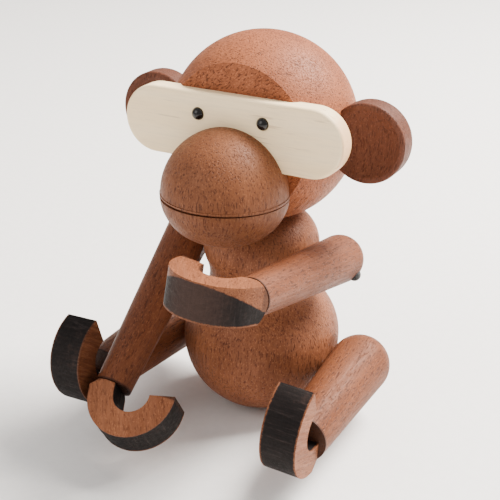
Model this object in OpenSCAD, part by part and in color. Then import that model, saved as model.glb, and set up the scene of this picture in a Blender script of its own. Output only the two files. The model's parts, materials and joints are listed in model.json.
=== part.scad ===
// Jointed wooden monkey, seated. Millimetres, Z up, it faces -Y and its left is +X.
// The seat under the belly lies on z = 0.

/* [Torso] */
// widest diameter of the belly
belly_d = 56; // [50:1:66]
// radius of the belly's upper shoulder, seen in the turned outline
belly_round = 23; // [19:1:26]
// diameter of the flat seat turned under the belly
seat_d = 16; // [10:1:24]
// widest diameter of the chest
chest_d = 40.8; // [35:0.5:46]
// radius of the chest's turned outline
chest_round = 13.5; // [11:0.5:16]
// height of the chest's widest line above the belly's
chest_rise = 35.4; // [32:0.5:44]
// radius of the hollow between chest and belly
waist_round = 14; // [9:1:20]

/* [Head] */
// diameter of the head ball
head_d = 64; // [55:1:72]
// from the chest's widest line up to the middle of the head
head_rise = 42.8; // [42:0.5:50]
// how far the head's middle lies behind the body's
head_back = 1.5; // [0:0.5:3]
// how far the head is tipped back, degrees
head_tilt = 3; // [0:1:8]
// from the middle of the head to the flat sawn across its front
face_flat = 19.9; // [16:0.2:21]
// length of the pale face plate
plate_l = 78.4; // [66:1:90]
// height of the face plate
plate_h = 22.6; // [20:0.5:30]
// thickness of the face plate
plate_t = 7.4; // [6:0.2:9]
// depth that the plate is let into the head
plate_sunk = 3; // [2:0.2:4]
// height of the plate's middle above the head's
plate_up = 4.0; // [0:0.2:8]
// radius on the plate's long edges
plate_edge = 1.2; // [0.4:0.2:2]
// diameter of the bead eyes
eye_d = 4.4; // [3:0.2:6]
// distance between the eyes
eye_gap = 23.2; // [18:0.4:30]
// height of the eyes above the head's middle
eye_up = 8.2; // [3:0.2:11]
// how deep the middle of a bead lies behind the plate's face
eye_sunk = 0.5; // [0.2:0.1:1]
// diameter of the muzzle's domed top
muzzle_d = 41.8; // [34:0.2:48]
// width of the lower jaw
jaw_d = 42.2; // [36:0.5:48]
// depth of the lower jaw below the lip
jaw_drop = 16.2; // [14:0.2:18]
// from the head's middle forward to the muzzle's middle
muzzle_out = 27.0; // [22:0.2:29]
// from the head's middle down to the muzzle's middle
muzzle_down = 15.4; // [12:0.2:19]
// opening of the mouth slot at its wide end
mouth_h = 1.3; // [0.6:0.1:2]
// depth of the mouth slot
mouth_deep = 2.2; // [1:0.2:4]
// mouth slot below the muzzle's middle
mouth_down = 1; // [0:0.2:4]
// diameter of an ear
ear_d = 26.6; // [20:0.5:32]
// height of the ears' middles above the head's
ear_up = 0.8; // [-2:0.2:4]
// thickness of an ear
ear_t = 10.6; // [8:0.2:13]
// from the head's middle out to an ear's middle
ear_out = 38.8; // [36:0.2:43]
// radius on the back edge of an ear
ear_back_edge = 4; // [2:0.5:4.5]
// depth of the dished front of an ear
ear_dish = 2.6; // [1:0.2:4]
// width of the rim round the dish
ear_rim = 1.8; // [1:0.2:4]
// diameter of the hidden dowels of the ears and the muzzle
head_dowel_d = 4; // [3:0.5:6]
// length of those dowels
head_dowel_l = 14; // [10:1:18]

/* [Arms] */
// diameter of an arm at the shoulder
arm_d = 16.8; // [14:0.2:19]
// diameter of an arm at the wrist
wrist_d = 12.6; // [11:0.2:15]
// from the shoulder's middle to the wrist
arm_l = 64; // [52:1:70]
// how far the shoulder axes are turned round the body, degrees
shoulder_turn = 4; // [-8:1:8]
// forward turn of the shoulder axes, which points the arms in, degrees
arm_toe_in = 3.4; // [0:0.5:8]
// upward tilt of the shoulder axes, degrees
shoulder_tilt = 11; // [6:1:16]
// how far below the chest's widest line the two shoulder axes meet
shoulder_drop = 7.2; // [6:0.2:12]
// how far the shoulder axes lie behind the body's middle
shoulder_back = 2.5; // [0:0.5:4]
// depth of the flat spots cut on the chest for the arms
shoulder_cut = 0.7; // [0.6:0.1:1.6]
// left arm below level, degrees
left_arm_angle = -12.5; // [-15:0.5:30]
// right arm below level, degrees
right_arm_angle = 34.5; // [0:1:44]

/* [Legs] */
// diameter of a leg at the hip
leg_d = 21.4; // [18:0.5:24]
// diameter of a leg at the ankle
ankle_d = 17; // [15:0.5:20]
// from the hip's middle to the ankle
leg_l = 49; // [40:1:60]
// how far the hip axes are turned round the body, degrees
hip_turn = -2; // [-8:1:8]
// downward tilt of the hip axes, degrees
hip_tilt = 4; // [0:1:8]
// backward turn of the hip axes, which splays the legs, degrees
leg_splay = 2.3; // [0:0.5:8]
// overlap of an arm and a foot, seen from above, past which the legs splay further
side_lap = 5.4; // [3:0.1:7]
// degrees of that splay for each degree of overlap along the leg
splay_gain = 1.5; // [1:0.1:2.5]
// how far below the belly's widest line the two hip axes meet
hip_drop = 3.5; // [1:0.1:6]
// how far the hip axes lie behind the body's middle
hip_back = 3; // [0:0.5:5]
// depth of the flat spots cut on the belly for the legs
hip_cut = 0.8; // [0.7:0.1:1.8]
// left leg below level, degrees
left_leg_angle = 1.5; // [-4:0.5:8]
// right leg below level, degrees
right_leg_angle = -1; // [-6:0.5:6]

/* [Hands and feet] */
// thickness of the sawn hook slabs
hook_t = 12.2; // [9:0.5:15]
// width of a hand's curved bar
hand_bar = 8.8; // [7:0.2:11]
// inner radius of a hand's curl
hand_curl = 6.4; // [4.5:0.2:8]
// straight part of a hand before the curl
hand_shank = 7; // [3:0.5:12]
// how far a hand's curl runs past the half circle, degrees
hand_wrap = -4; // [-20:1:20]
// how far a hand leans inward from the line of its arm, degrees
hand_lean = 17; // [0:1:25]
// turn of the left hand about its arm, degrees
left_hand_turn = 15; // [0:1:30]
// turn of the right hand about its arm, degrees
right_hand_turn = 10; // [0:1:30]
// how much smaller in radius a hook starts than its limb ends
start_trim = 0.2; // [0.1:0.1:0.8]
// radius that a hook's rounded start gains before it is square
ease_r = 3; // [1:0.5:4]
// length of that rounded start
ease_l = 5; // [3:0.5:8]
// width of a foot's curved bar
foot_bar = 9; // [7:0.2:11]
// inner radius of a foot's curl
foot_curl = 7.6; // [4.5:0.2:8]
// straight part of a foot before the curl
foot_shank = 2.4; // [1:0.2:8]
// how far a foot's curl runs past the half circle, degrees
foot_wrap = -15; // [-25:1:15]

/* [Joints] */
// diameter of the elastic cords
cord_d = 3; // [2:0.2:4]
// length of cord end inside a limb or the head
cord_in = 5.6; // [4:0.2:7]
// diameter of the knots
knot_d = 4.4; // [3.4:0.2:5.2]
// where an arm's knot sits, below level on the outer side, degrees
arm_knot_turn = 45; // [20:1:85]
// where a leg's knot sits, below level on the outer side, degrees
leg_knot_turn = 80; // [20:1:85]
// how far a knot stands out of its limb
knot_proud = 1.4; // [0.6:0.2:2]
// diameter of the wrist and ankle dowels
dowel_d = 4; // [3:0.5:5]
// length of a wrist or ankle dowel on each side of the joint
dowel_in = 5; // [5:0.5:9]
// radial running clearance of a pin in a hole
run_fit = 0.05; // [0.02:0.01:0.1]
// gap between faces that turn on each other
seat_gap = 0.3; // [0.2:0.05:0.5]
// depth of the flat spot on a limb's round end
seat_flat = 0.5; // [0.3:0.1:0.9]

/* [Hidden] */
$fn = 96;
far = 300;

brown = [0.60, 0.36, 0.22];
pale = [0.96, 0.90, 0.78];
black = [0.10, 0.09, 0.09];

// heights on the torso's axis
belly_r = belly_d / 2;
belly_z = sqrt(belly_r * belly_r - seat_d * seat_d / 4);
chest_z = belly_z + chest_rise;
head_r = head_d / 2;
head_z = chest_z + head_rise;
cup_r = head_r + seat_gap;

// centres of the arcs in the turned outline
belly_cx = belly_r - belly_round;
chest_cx = chest_d / 2 - chest_round;
// the hollow waist arc touches the belly arc and the chest arc
arc_dx = chest_cx - belly_cx;
arc_gap = sqrt(arc_dx * arc_dx + chest_rise * chest_rise);
arc_a = belly_round + waist_round;
arc_b = chest_round + waist_round;
arc_k = (arc_a * arc_a - arc_b * arc_b + arc_gap * arc_gap) / (2 * arc_gap);
arc_h = sqrt(arc_a * arc_a - arc_k * arc_k);
waist_x = belly_cx + (arc_k * arc_dx + arc_h * chest_rise) / arc_gap;
waist_z = belly_z + (arc_k * chest_rise - arc_h * arc_dx) / arc_gap;

// points where the arcs meet
belly_touch_x = belly_cx + (waist_x - belly_cx) * belly_round / arc_a;
belly_touch_z = belly_z + (waist_z - belly_z) * belly_round / arc_a;
chest_touch_x = chest_cx + (waist_x - chest_cx) * chest_round / arc_b;
chest_touch_z = chest_z + (waist_z - chest_z) * chest_round / arc_b;

// shoulder and hip axes
shoulder_z = chest_z - shoulder_drop;
chest_reach = chest_cx * cos(shoulder_tilt) + shoulder_drop * sin(shoulder_tilt) + chest_round;
shoulder_face = chest_reach - shoulder_cut;
arm_r = arm_d / 2;
wrist_r = wrist_d / 2;
shoulder_out = shoulder_face + seat_gap + arm_r - seat_flat;
hip_z = belly_z - hip_drop;
hip_reach = sqrt(belly_r * belly_r - hip_back * hip_back);
hip_face = hip_reach - hip_drop * sin(hip_tilt) - hip_cut;
leg_r = leg_d / 2;
ankle_r = ankle_d / 2;
hip_out = hip_face + seat_gap + leg_r - seat_flat;
// the legs splay further where a lowered arm would meet the leg beside it
arm_side = shoulder_out + (arm_r + wrist_r) / 2;
leg_side = hip_out - hook_t / 2;
splay = leg_splay + splay_gain * asin(max(0, arm_side - leg_side - side_lap) / leg_l);

// the dowel of a hook lies on the middle line of its bar
hand_off = wrist_r - hand_bar / 2;
foot_off = ankle_r - foot_bar / 2;

plate_back = face_flat - plate_sunk;
plate_front = plate_back + plate_t;
muzzle_r = muzzle_d / 2;
jaw_r = jaw_d / 2;

// ---- frames ----

module at_head()
{
    translate([0, head_back, head_z])
        rotate([-head_tilt, 0, 0])
            children();
}

module right()
{
    mirror([1, 0, 0])
        children();
}

// +X runs out along the shoulder's axis; s is 1 for the left side, -1 for the right
module shoulder_axis(s)
{
    rotate([0, 0, shoulder_turn])
        mirror([s < 0 ? 1 : 0, 0, 0])
            translate([0, shoulder_back, shoulder_z])
                rotate([0, -shoulder_tilt, -arm_toe_in])
                    children();
}

module hip_axis(s)
{
    rotate([0, 0, hip_turn])
        mirror([s < 0 ? 1 : 0, 0, 0])
            translate([0, hip_back, hip_z])
                rotate([0, hip_tilt, splay])
                    children();
}

// the limb runs along -Y when level
module at_shoulder(s, angle)
{
    shoulder_axis(s)
        translate([shoulder_out, 0, 0])
            rotate([angle, 0, 0])
                children();
}

module at_hip(s, angle)
{
    hip_axis(s)
        translate([hip_out, 0, 0])
            rotate([angle, 0, 0])
                children();
}

// everything in front of the plane y = -d
module ahead_of(d)
{
    translate([-far / 2, -d - far, -far / 2])
        cube([far, far, far]);
}

// ---- torso ----

module torso_outline()
{
    intersection()
    {
        translate([0, belly_z])
            circle(r = belly_r);
        translate([0, 0])
            square([far, belly_z]);
    }
    intersection()
    {
        translate([belly_cx, belly_z])
            circle(r = belly_round);
        translate([0, belly_z])
            square([far, belly_touch_z - belly_z]);
    }
    square([belly_cx, belly_touch_z]);
    difference()
    {
        polygon([[0, belly_z], [belly_cx, belly_z], [belly_touch_x, belly_touch_z],
            [waist_x, waist_z], [chest_touch_x, chest_touch_z], [chest_cx, chest_z],
            [0, chest_z]]);
        translate([waist_x, waist_z])
            circle(r = waist_round);
    }
    intersection()
    {
        translate([chest_cx, chest_z])
            circle(r = chest_round);
        translate([0, chest_touch_z])
            square([far, far]);
    }
    translate([0, chest_z])
        square([chest_cx, chest_round]);
}

module shoulder_flat(s)
{
    shoulder_axis(s)
        translate([shoulder_face, -far / 2, -chest_round])
            cube([far, far, 2 * chest_round]);
}

module hip_flat(s)
{
    hip_axis(s)
        translate([hip_face, -belly_r, -belly_r])
            cube([far, belly_d, belly_d]);
}

module torso()
{
    color(brown)
    difference()
    {
        rotate_extrude()
            torso_outline();
        translate([0, head_back, head_z])
            sphere(r = cup_r);
        for (s = [-1, 1])
        {
            shoulder_flat(s);
            hip_flat(s);
        }
        shoulder_cord_solid();
        hip_cord_solid();
        neck_cord_solid();
    }
}

// ---- cords ----

module cord_arm(reach)
{
    rotate([0, 90, 0])
        cylinder(d = cord_d, h = reach);
}

module shoulder_cord_solid()
{
    for (s = [-1, 1])
        shoulder_axis(s)
            cord_arm(shoulder_face + seat_gap + cord_in);
    shoulder_axis(1)
        sphere(d = cord_d);
}

module shoulder_cord()
{
    color(black)
        shoulder_cord_solid();
}

module hip_cord_solid()
{
    for (s = [-1, 1])
        hip_axis(s)
            cord_arm(hip_face + seat_gap + cord_in);
    hip_axis(1)
        sphere(d = cord_d);
}

module hip_cord()
{
    color(black)
        hip_cord_solid();
}

neck_low = head_z - head_r - cord_in - 3;

module neck_cord_solid()
{
    translate([0, head_back, neck_low])
        cylinder(d = cord_d, h = 2 * cord_in + 3);
}

module neck_cord()
{
    color(black)
        neck_cord_solid();
}

// ---- head ----

// half of the plate's rounded section, from its middle line out
module plate_section()
{
    e = plate_edge;
    h = plate_h / 2;
    translate([0, -plate_t / 2 + e])
        square([h, plate_t - 2 * e]);
    translate([0, -plate_t / 2])
        square([h - e, plate_t]);
    for (y = [-1, 1])
        translate([h - e, y * (plate_t / 2 - e)])
            circle(r = e);
}

module plate_blank()
{
    straight = plate_l - plate_h;
    translate([0, -(plate_back + plate_front) / 2, plate_up])
        rotate([90, 0, 0])
            for (side = [0, 1])
                rotate([0, 0, side * 180])
                {
                    translate([straight / 2, 0, 0])
                        rotate([0, 0, -90])
                            rotate_extrude(angle = 180)
                                plate_section();
                    translate([-straight / 2, 0, 0])
                        rotate([90, 0, 90])
                            linear_extrude(height = straight)
                                plate_section();
                }
}

module eye_solid(side)
{
    translate([side * eye_gap / 2, -plate_front + eye_sunk, eye_up])
    {
        rotate([-90, 0, 0])
        {
            sphere(d = eye_d);
            cylinder(d = eye_d / 3, h = eye_d);
        }
    }
}

module ear_dowel_solid()
{
    translate([ear_out - ear_d / 2 - head_dowel_l / 4, 0, ear_up])
        rotate([0, 90, 0])
            cylinder(d = head_dowel_d, h = head_dowel_l);
}

module muzzle_dowel_solid()
{
    translate([0, -face_flat + head_dowel_l / 2, -muzzle_down])
        rotate([90, 0, 0])
            cylinder(d = head_dowel_d, h = head_dowel_l);
}

module head()
{
    color(brown)
    difference()
    {
        at_head()
            difference()
            {
                sphere(r = head_r);
                ahead_of(face_flat);
                plate_blank();
                muzzle_dowel_solid();
                ear_dowel_solid();
                right()
                    ear_dowel_solid();
            }
        translate([0, head_back, head_z - far / 2])
            cylinder(d = cord_d + 2 * run_fit, h = far / 2 - head_r + cord_in + 1);
    }
}

module face_plate()
{
    color(pale)
        at_head()
            difference()
            {
                plate_blank();
                eye_solid(1);
                eye_solid(-1);
            }
}

module left_eye()
{
    color(black)
        at_head()
            eye_solid(1);
}

module right_eye()
{
    color(black)
        at_head()
            eye_solid(-1);
}

// turned outline: a domed top over a slightly wider jaw
module muzzle_outline(grow)
{
    intersection()
    {
        circle(r = muzzle_r + grow);
        square([far, far]);
    }
    intersection()
    {
        translate([jaw_r - jaw_drop, 0])
            circle(r = jaw_drop + grow);
        translate([0, -far])
            square([far, far]);
    }
    translate([0, -jaw_drop - grow])
        square([jaw_r - jaw_drop, jaw_drop + grow]);
}

// a slot that narrows from the right cheek to the left
module mouth_slot()
{
    difference()
    {
        translate([0, jaw_r, -mouth_down])
            rotate([90, 0, 0])
                linear_extrude(height = 3 * jaw_r)
                    polygon([[-jaw_d, -mouth_h * 0.5], [-jaw_d, mouth_h * 0.5], [jaw_d, 0]]);
        rotate_extrude()
            muzzle_outline(-mouth_deep);
    }
}

module muzzle()
{
    plate_low = plate_up - plate_h / 2;
    color(brown)
        at_head()
            difference()
            {
                translate([0, -muzzle_out, -muzzle_down])
                    rotate_extrude()
                        muzzle_outline(0);
                translate([-far / 2, -face_flat, -far / 2])
                    cube([far, far, far]);
                translate([-far / 2, -plate_front, plate_low])
                    cube([far, far, far]);
                translate([0, -muzzle_out, -muzzle_down])
                    mouth_slot();
                muzzle_dowel_solid();
            }
}

module muzzle_dowel()
{
    color(pale)
        at_head()
            muzzle_dowel_solid();
}

module ear_section()
{
    r = ear_d / 2;
    b = ear_back_edge;
    f = ear_rim / 2;
    square([r - b, ear_t]);
    translate([0, f])
        square([r, ear_t - b - f]);
    translate([0, 0])
        square([r - f, ear_t - b]);
    translate([r - b, ear_t - b])
        circle(r = b);
    translate([r - f, f])
        circle(r = f);
}

module ear_solid()
{
    dish_r = ear_d / 2 - ear_rim;
    ball_r = (dish_r * dish_r + ear_dish * ear_dish) / (2 * ear_dish);
    difference()
    {
        translate([ear_out, -ear_t / 2, ear_up])
            rotate([-90, 0, 0])
                difference()
                {
                    rotate_extrude()
                        intersection()
                        {
                            ear_section();
                            square([far, ear_t]);
                        }
                    translate([0, 0, ear_dish - ball_r])
                        sphere(r = ball_r);
                }
        sphere(r = head_r);
        ear_dowel_solid();
    }
}

module left_ear()
{
    color(brown)
        at_head()
            ear_solid();
}

module right_ear()
{
    color(brown)
        at_head()
            right()
                ear_solid();
}

module left_ear_dowel()
{
    color(pale)
        at_head()
            ear_dowel_solid();
}

module right_ear_dowel()
{
    color(pale)
        at_head()
            right()
                ear_dowel_solid();
}

// ---- limbs, drawn along -Y from the middle of the round end ----

// the knot leaves on the outer lower side
module knot_way(turn)
{
    rotate([0, 90 + turn, 0])
        children();
}

module knot_solid(r, turn)
{
    knot_r = knot_d / 2;
    mid = r + knot_proud - knot_r;
    knot_way(turn)
    {
        translate([0, 0, mid])
            sphere(r = knot_r);
        translate([0, 0, mid - knot_r - 2])
            cylinder(d = cord_d * 0.8, h = knot_r + 2);
    }
}

module limb_solid(r, end_r, len, off, turn, knot_turn)
{
    knot_r = knot_d / 2;
    mid = r + knot_proud - knot_r;
    difference()
    {
        union()
        {
            sphere(r = r);
            rotate([90, 0, 0])
                cylinder(r1 = r, r2 = end_r, h = len);
        }
        // flat that turns on the body
        translate([-far - r + seat_flat, -r, -far / 2])
            cube([far, 2 * r, far]);
        // blind bore for the cord
        translate([-far - r + seat_flat + cord_in + 0.8, 0, 0])
            rotate([0, 90, 0])
                cylinder(d = cord_d + 2 * run_fit, h = far);
        // seat and way for the knot
        knot_way(knot_turn)
        {
            translate([0, 0, mid])
                sphere(r = knot_r);
            translate([0, 0, mid])
                cylinder(r = knot_r, h = r);
            translate([0, 0, mid - knot_r - 2])
                cylinder(d = cord_d * 0.8, h = knot_r + 2);
        }
        hook_dowel(len, off, turn, 0);
    }
}

module hook_dowel(len, off, turn, fit)
{
    translate([0, -len, 0])
        rotate([0, turn, 0])
            translate([off, dowel_in, 0])
                rotate([90, 0, 0])
                    cylinder(r = dowel_d / 2 + fit, h = 2 * dowel_in + seat_gap);
}

// bar, inner radius, straight part and wrap of a hook, drawn up +Y and curling to +X
module hook_outline(bar, curl, shank, wrap)
{
    out = bar + curl;
    translate([-bar / 2, 0])
        square([bar, shank]);
    translate([bar / 2 + curl, shank])
        difference()
        {
            intersection()
            {
                circle(r = out);
                polygon([[0, 0], [-2 * out, 0], [-2 * out, 2 * out], [2 * out, 2 * out],
                    [2 * out * cos(wrap), -2 * out * sin(wrap)]]);
            }
            circle(r = curl);
        }
}

// the same, leaned over about its outer corner and trimmed square to the limb
module leaned_outline(bar, curl, shank, wrap, lean)
{
    difference()
    {
        translate([-bar / 2, 0])
            rotate([0, 0, -lean])
                translate([bar / 2, 0])
                    hook_outline(bar, curl, shank, wrap);
        translate([-bar, -2 * bar])
            square([2 * bar, 2 * bar]);
    }
}

// what is turned away where a hook starts round, to match the limb's end
module start_waste(end_r)
{
    grow = ease_r / ease_l;
    low = end_r - start_trim - grow;
    rotate([90, 0, 0])
        difference()
        {
            translate([0, 0, -1])
                cylinder(r = 1.7 * end_r, h = ease_l + 1);
            translate([0, 0, -1])
                cylinder(r1 = low, r2 = low + grow * (ease_l + 2), h = ease_l + 2);
        }
}

module hook_solid(len, end_r, off, turn, bar, curl, shank, wrap, lean)
{
    difference()
    {
        translate([0, -len - seat_gap, 0])
            difference()
            {
                rotate([0, turn, 0])
                    translate([off, 0, 0])
                        rotate([0, 0, 180])
                            linear_extrude(height = hook_t, center = true)
                                leaned_outline(bar, curl, shank, wrap, lean);
                start_waste(end_r);
            }
        translate([0, -0.5, 0])
            hook_dowel(len, off, turn, run_fit);
    }
}

module hand_solid(turn)
{
    hook_solid(arm_l, wrist_r, hand_off, turn, hand_bar, hand_curl, hand_shank, hand_wrap,
        hand_lean);
}

module foot_solid()
{
    hook_solid(leg_l, ankle_r, foot_off, 90, foot_bar, foot_curl, foot_shank, foot_wrap, 0);
}

module arm_solid(turn)
{
    limb_solid(arm_r, wrist_r, arm_l, hand_off, turn, arm_knot_turn);
}

module leg_solid()
{
    limb_solid(leg_r, ankle_r, leg_l, foot_off, 90, leg_knot_turn);
}

module left_arm()
{
    color(brown)
        at_shoulder(1, left_arm_angle)
            arm_solid(left_hand_turn);
}

module right_arm()
{
    color(brown)
        at_shoulder(-1, right_arm_angle)
            arm_solid(right_hand_turn);
}

module left_arm_knot()
{
    color(black)
        at_shoulder(1, left_arm_angle)
            knot_solid(arm_r, arm_knot_turn);
}

module right_arm_knot()
{
    color(black)
        at_shoulder(-1, right_arm_angle)
            knot_solid(arm_r, arm_knot_turn);
}

module left_wrist_dowel()
{
    color(pale)
        at_shoulder(1, left_arm_angle)
            hook_dowel(arm_l, hand_off, left_hand_turn, 0);
}

module right_wrist_dowel()
{
    color(pale)
        at_shoulder(-1, right_arm_angle)
            hook_dowel(arm_l, hand_off, right_hand_turn, 0);
}

module left_hand()
{
    color(brown)
        at_shoulder(1, left_arm_angle)
            hand_solid(left_hand_turn);
}

module right_hand()
{
    color(brown)
        at_shoulder(-1, right_arm_angle)
            hand_solid(right_hand_turn);
}

module left_leg()
{
    color(brown)
        at_hip(1, left_leg_angle)
            leg_solid();
}

module right_leg()
{
    color(brown)
        at_hip(-1, right_leg_angle)
            leg_solid();
}

module left_leg_knot()
{
    color(black)
        at_hip(1, left_leg_angle)
            knot_solid(leg_r, leg_knot_turn);
}

module right_leg_knot()
{
    color(black)
        at_hip(-1, right_leg_angle)
            knot_solid(leg_r, leg_knot_turn);
}

module left_ankle_dowel()
{
    color(pale)
        at_hip(1, left_leg_angle)
            hook_dowel(leg_l, foot_off, 90, 0);
}

module right_ankle_dowel()
{
    color(pale)
        at_hip(-1, right_leg_angle)
            hook_dowel(leg_l, foot_off, 90, 0);
}

module left_foot()
{
    color(brown)
        at_hip(1, left_leg_angle)
            foot_solid();
}

module right_foot()
{
    color(brown)
        at_hip(-1, right_leg_angle)
            foot_solid();
}

torso();
shoulder_cord();
hip_cord();
neck_cord();
head();
face_plate();
left_eye();
right_eye();
muzzle();
muzzle_dowel();
left_ear();
right_ear();
left_ear_dowel();
right_ear_dowel();
left_arm();
right_arm();
left_arm_knot();
right_arm_knot();
left_wrist_dowel();
right_wrist_dowel();
left_hand();
right_hand();
left_leg();
right_leg();
left_leg_knot();
right_leg_knot();
left_ankle_dowel();
right_ankle_dowel();
left_foot();
right_foot();
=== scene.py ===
# Jointed wooden monkey: finishes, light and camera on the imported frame. Metres.
import json
import math

import bpy
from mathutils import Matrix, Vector

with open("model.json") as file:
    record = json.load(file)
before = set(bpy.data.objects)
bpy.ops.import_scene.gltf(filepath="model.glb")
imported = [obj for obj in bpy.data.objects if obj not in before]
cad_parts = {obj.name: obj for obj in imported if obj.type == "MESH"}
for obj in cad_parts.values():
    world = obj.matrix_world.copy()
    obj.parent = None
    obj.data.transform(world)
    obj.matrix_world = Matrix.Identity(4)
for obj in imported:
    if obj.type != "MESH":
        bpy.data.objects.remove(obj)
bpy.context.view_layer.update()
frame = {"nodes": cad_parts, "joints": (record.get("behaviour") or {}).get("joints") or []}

MM = 0.001
NODES = frame["nodes"]
JOINTS = {joint["name"]: joint for joint in frame["joints"]}

# base tones of the oiled wood, piece by piece; the arm and leg tones also carry painted shade
TORSO_TONE = (0.215, 0.074, 0.032)
HEAD_TONE = (0.290, 0.090, 0.036)
MUZZLE_TONE = (0.175, 0.061, 0.025)
EAR_TONE = (0.105, 0.035, 0.019)
# painted shade: the arms and legs are toned darker than the head because they get less light
ARM_TONE_WITH_PAINTED_SHADE = (0.145, 0.046, 0.019)
LEG_TONE_WITH_PAINTED_SHADE = (0.160, 0.052, 0.021)
HOOK_TONE = (0.215, 0.076, 0.033)
RIGHT_FOOT_PAINTED_SHADE = 0.45  # painted shade: the right foot lies in the right arm's shadow, so its whole wood tone is darkened
END_GRAIN = (0.030, 0.011, 0.006)
HOOK_END_GRAIN = (0.028, 0.011, 0.006)
UPRIGHT = (0, 0, 1)


# ---- small helpers for shader trees ----

def new_material(name):
    material = bpy.data.materials.new(name)
    material.use_nodes = True
    return material, material.node_tree, material.node_tree.nodes["Principled BSDF"]


def object_coords(tree, grain=UPRIGHT, shift=(0, 0, 0)):
    """Object coordinates turned so that +Z runs along the grain."""
    coords = tree.nodes.new("ShaderNodeTexCoord")
    turn = tree.nodes.new("ShaderNodeMapping")
    spin = Vector(grain).normalized().rotation_difference(Vector((0, 0, 1)))
    turn.inputs["Rotation"].default_value = spin.to_euler("XYZ")
    turn.inputs["Location"].default_value = shift
    tree.links.new(coords.outputs["Object"], turn.inputs["Vector"])
    return turn.outputs["Vector"]


def stretched(tree, vector, across, along):
    """Pattern space with so many repeats a metre across and along the grain."""
    size = tree.nodes.new("ShaderNodeMapping")
    size.inputs["Scale"].default_value = (across, across, along)
    tree.links.new(vector, size.inputs["Vector"])
    return size.outputs["Vector"]


def noise(tree, vector, detail=3.0, rough=0.55, distort=0.0):
    node = tree.nodes.new("ShaderNodeTexNoise")
    node.inputs["Scale"].default_value = 1.0
    node.inputs["Detail"].default_value = detail
    node.inputs["Roughness"].default_value = rough
    node.inputs["Distortion"].default_value = distort
    tree.links.new(vector, node.inputs["Vector"])
    return node.outputs["Fac"]


def ramp(tree, value, stops):
    node = tree.nodes.new("ShaderNodeValToRGB")
    ends = node.color_ramp.elements
    while len(ends) < len(stops):
        ends.new(0.5)
    for stop, (place, colour) in zip(ends, stops):
        stop.position = place
        stop.color = (*colour, 1.0)
    tree.links.new(value, node.inputs["Fac"])
    return node.outputs["Color"]


def span(tree, value, low, high, to_low=0.0, to_high=1.0):
    node = tree.nodes.new("ShaderNodeMapRange")
    node.interpolation_type = "SMOOTHSTEP"
    sockets = ("From Min", "From Max", "To Min", "To Max")
    for socket, number in zip(sockets, (low, high, to_low, to_high)):
        node.inputs[socket].default_value = number
    tree.links.new(value, node.inputs["Value"])
    return node.outputs["Result"]


def maths(tree, operation, a, b=0.0, c=0.0):
    node = tree.nodes.new("ShaderNodeMath")
    node.operation = operation
    for socket, entry in zip(node.inputs, (a, b, c)):
        if isinstance(entry, (int, float)):
            socket.default_value = entry
        else:
            tree.links.new(entry, socket)
    return node.outputs["Value"]


def mix(tree, factor, under, over):
    node = tree.nodes.new("ShaderNodeMix")
    node.data_type = "RGBA"
    sockets = (node.inputs["Factor"], node.inputs[6], node.inputs[7])
    for socket, entry in zip(sockets, (factor, under, over)):
        if isinstance(entry, (int, float)):
            socket.default_value = entry
        elif isinstance(entry, tuple):
            socket.default_value = (*entry, 1.0)
        else:
            tree.links.new(entry, socket)
    return node.outputs[2]


def raised(tree, height, strength, depth, under=None):
    node = tree.nodes.new("ShaderNodeBump")
    node.inputs["Strength"].default_value = strength
    node.inputs["Distance"].default_value = depth
    tree.links.new(height, node.inputs["Height"])
    if under is not None:
        tree.links.new(under, node.inputs["Normal"])
    return node.outputs["Normal"]


def along(tree, vector, direction):
    node = tree.nodes.new("ShaderNodeVectorMath")
    node.operation = "DOT_PRODUCT"
    node.inputs[1].default_value = direction
    tree.links.new(vector, node.inputs[0])
    return node.outputs["Value"]


def dress(material, *names):
    for name in names:
        slots = NODES[name].data.materials
        for place in range(len(slots)):
            slots[place] = material


# ---- brown wood ----

def brown_colour(tree, vector, tone, pore_depth=0.72):
    """Colour, roughness and height of oiled reddish wood with short dark pores."""
    r, g, b = tone
    broad = noise(tree, stretched(tree, vector, 75, 20), 4.0, 0.6, 0.6)
    body = ramp(tree, broad, [
        (0.28, (0.72 * r, 0.66 * g, 0.62 * b)),
        (0.50, (r, g, b)),
        (0.74, (1.18 * r, 1.22 * g, 1.25 * b))])
    fibre = noise(tree, stretched(tree, vector, 1100, 75), 3.0, 0.6)
    fibre_mask = span(tree, fibre, 0.35, 0.68)
    colour = mix(tree, fibre_mask, mix(tree, 0.26, body, (0.060, 0.016, 0.006)), body)
    pores = noise(tree, stretched(tree, vector, 2000, 420), 2.0, 0.5)
    pore_mask = span(tree, pores, 0.53, 0.66)
    darkening = maths(tree, "MULTIPLY", pore_mask, pore_depth)
    colour = mix(tree, darkening, colour, (0.045, 0.012, 0.005))
    fleck = noise(tree, stretched(tree, vector, 2400, 1100), 2.0, 0.6)
    lightening = maths(tree, "MULTIPLY", span(tree, fleck, 0.54, 0.70), 0.55)
    colour = mix(tree, lightening, colour, (1.8 * r, 1.9 * g, 2.0 * b))
    rough = span(tree, fibre, 0.3, 0.7, 0.62, 0.46)
    height = maths(tree, "SUBTRACT", maths(tree, "MULTIPLY", fibre, 0.35), pore_mask)
    return colour, rough, height


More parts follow.
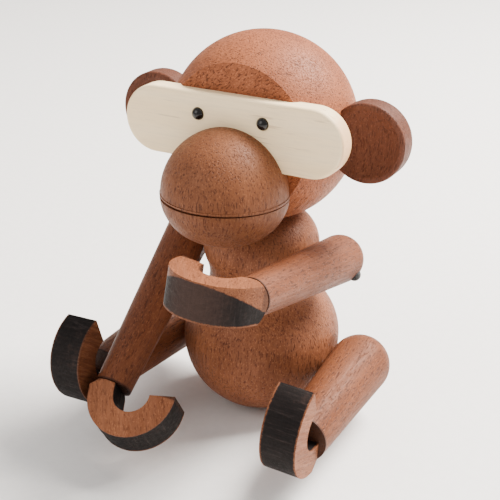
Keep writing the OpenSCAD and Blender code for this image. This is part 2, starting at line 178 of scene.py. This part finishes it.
def brown_wood(name, grain, tone, shift, turning=None, sawn_end=None):
    """Oiled wood; turning is the lathe's axis, sawn_end how far along it the hook's joint lies."""
    material, tree, shader = new_material(name)
    colour, rough, height = brown_colour(tree, object_coords(tree, grain, shift), tone)
    normal = raised(tree, height, 0.60, 0.16 * MM)
    if turning is not None:
        coords = tree.nodes.new("ShaderNodeTexCoord")
        axis = along(tree, coords.outputs["Object"], turning)
        # faint rings left by the lathe
        rings = maths(tree, "SINE", maths(tree, "MULTIPLY", axis, 2100.0))
        wander = noise(tree, stretched(tree, coords.outputs["Object"], 60, 60), 2.0)
        normal = raised(tree, maths(tree, "MULTIPLY", rings, wander), 0.10, 0.05 * MM, normal)
    if sawn_end is not None:
        # the sawn end where a hook turns is dark end grain
        reach = maths(tree, "SUBTRACT", axis, sawn_end)
        colour = mix(tree, span(tree, reach, -0.9 * MM, -0.25 * MM, 0.0, 0.85), colour, END_GRAIN)
    tree.links.new(colour, shader.inputs["Base Color"])
    tree.links.new(rough, shader.inputs["Roughness"])
    tree.links.new(normal, shader.inputs["Normal"])
    shader.inputs["Specular IOR Level"].default_value = 0.16
    return material


# ---- black-stained hooks with bare sawn faces ----

def joint_line(joint):
    """A wrist's or ankle's direction, and how far along it the joint lies."""
    way = Vector(JOINTS[joint]["axis"]).normalized()
    return way, Vector(JOINTS[joint]["pos_m"]).dot(way)


def slab_facts(node, grain):
    """Thickness direction of a sawn slab and how far its two faces lie along it.

    Of all the directions square to the grain, the sawn faces have the most area.
    The same one of the two faces is always taken, the upper one or the one towards -X.
    """
    mesh = NODES[node].data
    area, largest = {}, {}
    for face in mesh.polygons:
        if abs(face.normal.dot(grain)) >= 0.05:
            continue
        way = face.normal * (1 if face.normal.dot(Vector((-1, 0, 1))) > 0 else -1)
        key = tuple(round(part, 2) for part in way)
        area[key] = area.get(key, 0.0) + face.area
        if face.area > largest.get(key, (0.0, None))[0]:
            largest[key] = (face.area, way)
    across = largest[max(area, key=area.get)][1]
    reach = [vertex.co.dot(across) for vertex in mesh.vertices]
    return across, min(reach), max(reach)


def brushed_black(tree, place, across):
    """Black stain with grey brush scratches and thin patches."""
    brush = noise(tree, stretched(tree, object_coords(tree, across), 1100, 90), 4.0, 0.7)
    black = ramp(tree, brush, [
        (0.34, (0.0035, 0.0020, 0.0018)),
        (0.56, (0.0065, 0.0040, 0.0036)),
        (0.80, (0.030, 0.021, 0.019))])
    scratch = noise(tree, stretched(tree, place, 60, 1000), 3.0, 0.7)
    black = mix(tree, span(tree, scratch, 0.60, 0.74, 0.0, 0.40), black, (0.050, 0.037, 0.035))
    thin = noise(tree, stretched(tree, place, 110, 110), 4.0, 0.65)
    black = mix(tree, span(tree, thin, 0.56, 0.76, 0.0, 0.45), black, (0.050, 0.027, 0.021))
    return black, brush


def stained_hook(name, node, joint, bare_wedge=False, painted_shade=1.0):
    """Brown sawn faces, black brushed curved faces, worn along the corners."""
    material, tree, shader = new_material(name)
    grain, start = joint_line(joint)
    across, low, high = slab_facts(node, grain)
    sideways = across.cross(grain)
    vector = object_coords(tree, grain + 0.5 * sideways, (0.013, 0.021, 0.004))
    # the factor darkens the hook's wood tone as painted shadow, for the foot that lies in the arm's
    # shade
    colour, rough, height = brown_colour(tree, vector, tuple(painted_shade * part for part in HOOK_TONE), 0.60)
    coords = tree.nodes.new("ShaderNodeTexCoord")
    place = coords.outputs["Object"]
    out = maths(tree, "SUBTRACT", along(tree, place, grain), start)

    # fine saw marks slanting over the bare faces
    saw_way = (grain * 0.8 + sideways * 0.6).normalized()
    saw = noise(tree, stretched(tree, object_coords(tree, saw_way), 700, 60), 2.0, 0.6)
    colour = mix(tree, span(tree, saw, 0.42, 0.70, 0.0, 0.45), colour, (0.20, 0.075, 0.036))

    # the stain lies on every face that doesn't look along the slab's thickness
    facing = maths(tree, "ABSOLUTE", along(tree, coords.outputs["Normal"], across))
    curved = span(tree, facing, 0.55, 0.80, 1.0, 0.0)
    level = maths(tree, "SUBTRACT", along(tree, place, across), (low + high) / 2)
    edge = maths(tree, "SUBTRACT", (high - low) / 2, maths(tree, "ABSOLUTE", level))
    ragged = noise(tree, stretched(tree, place, 900, 900), 3.0, 0.7)
    rub = maths(tree, "ADD", maths(tree, "MULTIPLY", edge, 1.0 / (0.9 * MM)), ragged)
    worn = maths(tree, "MULTIPLY", span(tree, rub, 0.75, 1.25, 1.0, 0.0), 0.75)
    cover = maths(tree, "MULTIPLY", curved, maths(tree, "SUBTRACT", 1.0, worn))
    black, brush = brushed_black(tree, place, across)
    if bare_wedge:
        # the stain is rubbed thin and grey round the far end
        rubbed = maths(tree, "MULTIPLY_ADD", ragged, 6.0 * MM, out)
        rubbed = span(tree, rubbed, 14.0 * MM, 22.0 * MM, 0.0, 0.62)
        black = mix(tree, rubbed, black, (0.060, 0.034, 0.027))
        # a bare wedge lies beside the wrist, with a thin stain at its rim
        line = maths(tree, "MULTIPLY_ADD", out, 0.50, -3.0 * MM)
        bare = maths(tree, "SUBTRACT", level, line)
        bare = maths(tree, "MULTIPLY_ADD", ragged, 0.9 * MM, bare)
        bare = maths(tree, "MULTIPLY", span(tree, bare, 0.2 * MM, 0.8 * MM), 0.93)
        cover = maths(tree, "MULTIPLY", cover, maths(tree, "SUBTRACT", 1.0, bare))
        rim = span(tree, out, 2.4 * MM, 3.6 * MM, 0.55, 0.0)
        cover = maths(tree, "MAXIMUM", cover, maths(tree, "MULTIPLY", rim, curved))
    colour = mix(tree, cover, colour, black)

    # dark end grain at the joint, and light specks along the stained corners
    colour = mix(tree, span(tree, out, 0.1 * MM, 0.7 * MM, 0.85, 0.0), colour, HOOK_END_GRAIN)
    speck = noise(tree, stretched(tree, place, 1500, 1500), 2.0, 0.6)
    near = span(tree, edge, 0.2 * MM, 1.1 * MM, 1.0, 0.0)
    speck = maths(tree, "MULTIPLY", span(tree, speck, 0.66, 0.72), near)
    speck = maths(tree, "MULTIPLY", maths(tree, "MULTIPLY", speck, curved), 0.6)
    colour = mix(tree, speck, colour, (0.34, 0.19, 0.12))

    rough = maths(tree, "ADD", rough, maths(tree, "MULTIPLY", cover, 0.10))
    marks = maths(tree, "ADD", maths(tree, "MULTIPLY", saw, 0.6), brush)
    normal = raised(tree, height, 0.30, 0.12 * MM)
    normal = raised(tree, marks, 0.30, 0.12 * MM, normal)
    tree.links.new(colour, shader.inputs["Base Color"])
    tree.links.new(rough, shader.inputs["Roughness"])
    tree.links.new(normal, shader.inputs["Normal"])
    shader.inputs["Specular IOR Level"].default_value = 0.12
    return material


# ---- pale plate, beads and cord ----

def pale_wood(name, grain=(1, 0, 0)):
    material, tree, shader = new_material(name)
    vector = object_coords(tree, grain, (0.3, 0.11, 0.07))
    broad = noise(tree, stretched(tree, vector, 120, 9), 3.0, 0.5)
    body = ramp(tree, broad, [
        (0.25, (0.90, 0.655, 0.355)),
        (0.50, (0.96, 0.745, 0.445)),
        (0.80, (0.98, 0.80, 0.52))])
    dash = noise(tree, stretched(tree, vector, 850, 62), 2.0, 0.5)
    dash_mask = span(tree, dash, 0.62, 0.72, 0.0, 0.5)
    colour = mix(tree, dash_mask, body, (0.50, 0.33, 0.19))
    fine = noise(tree, stretched(tree, vector, 1600, 120), 2.0, 0.5)
    colour = mix(tree, span(tree, fine, 0.4, 0.7, 0.0, 0.16), colour, (0.62, 0.47, 0.30))
    # end grain on the rounded ends drinks more oil
    coords = tree.nodes.new("ShaderNodeTexCoord")
    ends = maths(tree, "ABSOLUTE", along(tree, coords.outputs["Normal"], grain))
    colour = mix(tree, span(tree, ends, 0.35, 0.95, 0.0, 0.75), colour, (0.66, 0.36, 0.17))
    normal = raised(tree, maths(tree, "ADD", dash, fine), 0.15, 0.08 * MM)
    tree.links.new(colour, shader.inputs["Base Color"])
    tree.links.new(span(tree, fine, 0.3, 0.7, 0.52, 0.40), shader.inputs["Roughness"])
    tree.links.new(normal, shader.inputs["Normal"])
    shader.inputs["Specular IOR Level"].default_value = 0.20
    return material


def black_bead(name):
    material, tree, shader = new_material(name)
    haze = noise(tree, stretched(tree, object_coords(tree), 700, 700), 3.0, 0.6)
    colour = ramp(tree, haze, [(0.3, (0.003, 0.003, 0.003)), (0.8, (0.007, 0.006, 0.006))])
    tree.links.new(colour, shader.inputs["Base Color"])
    tree.links.new(span(tree, haze, 0.3, 0.8, 0.10, 0.22), shader.inputs["Roughness"])
    tree.links.new(raised(tree, haze, 0.04, 0.03 * MM), shader.inputs["Normal"])
    shader.inputs["Coat Weight"].default_value = 0.15
    shader.inputs["Specular IOR Level"].default_value = 0.30
    shader.inputs["Coat Roughness"].default_value = 0.05
    return material


def black_cord(name):
    material, tree, shader = new_material(name)
    vector = object_coords(tree, (0.6, 0.3, 0.7))
    weave = tree.nodes.new("ShaderNodeTexVoronoi")
    weave.inputs["Scale"].default_value = 1.0
    tree.links.new(stretched(tree, vector, 2300, 1500), weave.inputs["Vector"])
    bumps = weave.outputs["Distance"]
    colour = ramp(tree, bumps, [(0.1, (0.030, 0.028, 0.028)), (0.8, (0.006, 0.006, 0.006))])
    tree.links.new(colour, shader.inputs["Base Color"])
    tree.links.new(span(tree, bumps, 0.1, 0.8, 0.70, 0.90), shader.inputs["Roughness"])
    tree.links.new(raised(tree, bumps, 0.6, 0.15 * MM), shader.inputs["Normal"])
    shader.inputs["Sheen Weight"].default_value = 0.15
    return material


# ---- dress the pieces ----

# piece, grain, tone, pattern shift, lathe axis
TURNED = (
    ("torso", (0.05, 0.08, 1.0), TORSO_TONE, (0.02, 0.05, 0.01), UPRIGHT),
    ("head", (0.72, -0.35, 0.60), HEAD_TONE, (0.11, 0.02, 0.03), None),
    ("muzzle", (0.05, 0.02, 1.0), MUZZLE_TONE, (0.31, 0.07, 0.02), UPRIGHT),
    ("left_ear", (0.10, 0.05, 1.0), EAR_TONE, (0.21, 0.12, 0.02), None),
    ("right_ear", (0.05, 0.10, 1.0), EAR_TONE, (0.27, 0.02, 0.09), None),
)
for piece, grain, tone, shift, turning in TURNED:
    dress(brown_wood(piece + "_wood", grain, tone, shift, turning), piece)

# limb, joint at its end, tone, pattern shift
LIMBS = (
    ("arm", "wrist", ARM_TONE_WITH_PAINTED_SHADE, (0.05, 0.02, 0.03)),
    ("leg", "ankle", LEG_TONE_WITH_PAINTED_SHADE, (0.01, 0.06, 0.02)),
)
for side in ("left_", "right_"):
    for limb, joint, tone, shift in LIMBS:
        way, end = joint_line(side + joint)
        dress(brown_wood(side + limb + "_wood", way, tone, shift, way, end), side + limb)

dress(stained_hook("left_hand_wood", "left_hand", "left_wrist", bare_wedge=True), "left_hand")
dress(stained_hook("right_hand_wood", "right_hand", "right_wrist"), "right_hand")
dress(stained_hook("left_foot_wood", "left_foot", "left_ankle"), "left_foot")
dress(stained_hook("right_foot_wood", "right_foot", "right_ankle", painted_shade=RIGHT_FOOT_PAINTED_SHADE), "right_foot")

dress(pale_wood("plate_wood"), "face_plate", "muzzle_dowel", "left_ear_dowel", "right_ear_dowel",
      "left_wrist_dowel", "right_wrist_dowel", "left_ankle_dowel", "right_ankle_dowel")
dress(black_bead("eye_bead"), "left_eye", "right_eye")
dress(black_cord("elastic_cord"), "shoulder_cord", "hip_cord", "neck_cord",
      "left_arm_knot", "right_arm_knot", "left_leg_knot", "right_leg_knot")


# ---- floor, light and camera ----

FIGURE_MIDDLE = Vector((0, 0, 0.07))

bpy.ops.object.select_all(action="DESELECT")
bpy.ops.mesh.primitive_plane_add(size=8.0, location=(0, 1.5, 0))
floor = bpy.context.object
floor.name = "studio_floor"
paper, tree, shader = new_material("pale_floor")
grainy = noise(tree, stretched(tree, object_coords(tree), 300, 300), 3.0)
colour = ramp(tree, grainy, [(0.2, (0.86, 0.835, 0.81)), (0.8, (0.91, 0.885, 0.86))])
tree.links.new(colour, shader.inputs["Base Color"])
tree.links.new(span(tree, grainy, 0.2, 0.8, 0.75, 0.9), shader.inputs["Roughness"])
floor.data.materials.append(paper)


def softbox(name, place, size, power, colour):
    """A square soft light aimed at the middle of the figure."""
    data = bpy.data.lights.new(name, "AREA")
    data.shape = "SQUARE"
    data.size = size
    data.energy = power
    data.color = colour
    lamp = bpy.data.objects.new(name, data)
    lamp.location = place
    lamp.rotation_euler = (FIGURE_MIDDLE - Vector(place)).to_track_quat("-Z", "Y").to_euler()
    bpy.context.scene.collection.objects.link(lamp)


softbox("key_softbox", (0.42, 0.50, 0.85), 0.55, 54.0, (1.0, 0.96, 0.91))
softbox("fill_softbox", (-0.45, -0.85, 0.70), 0.8, 6.0, (1.0, 0.98, 0.96))

world = bpy.data.worlds.new("studio")
world.use_nodes = True
sky = world.node_tree.nodes["Background"]
sky.inputs["Color"].default_value = (1.0, 0.985, 0.975, 1.0)
sky.inputs["Strength"].default_value = 0.75
bpy.context.scene.world = world

lens = bpy.data.cameras.new("camera")
lens.lens = 83.68
lens.sensor_width = 36.0
lens.clip_start = 0.01
camera = bpy.data.objects.new("camera", lens)
camera.location = (0.16659, -0.33053, 0.23425)
camera.rotation_euler = [math.radians(turn) for turn in (64.68, 0.267, 27.254)]
bpy.context.scene.collection.objects.link(camera)
bpy.context.scene.camera = camera
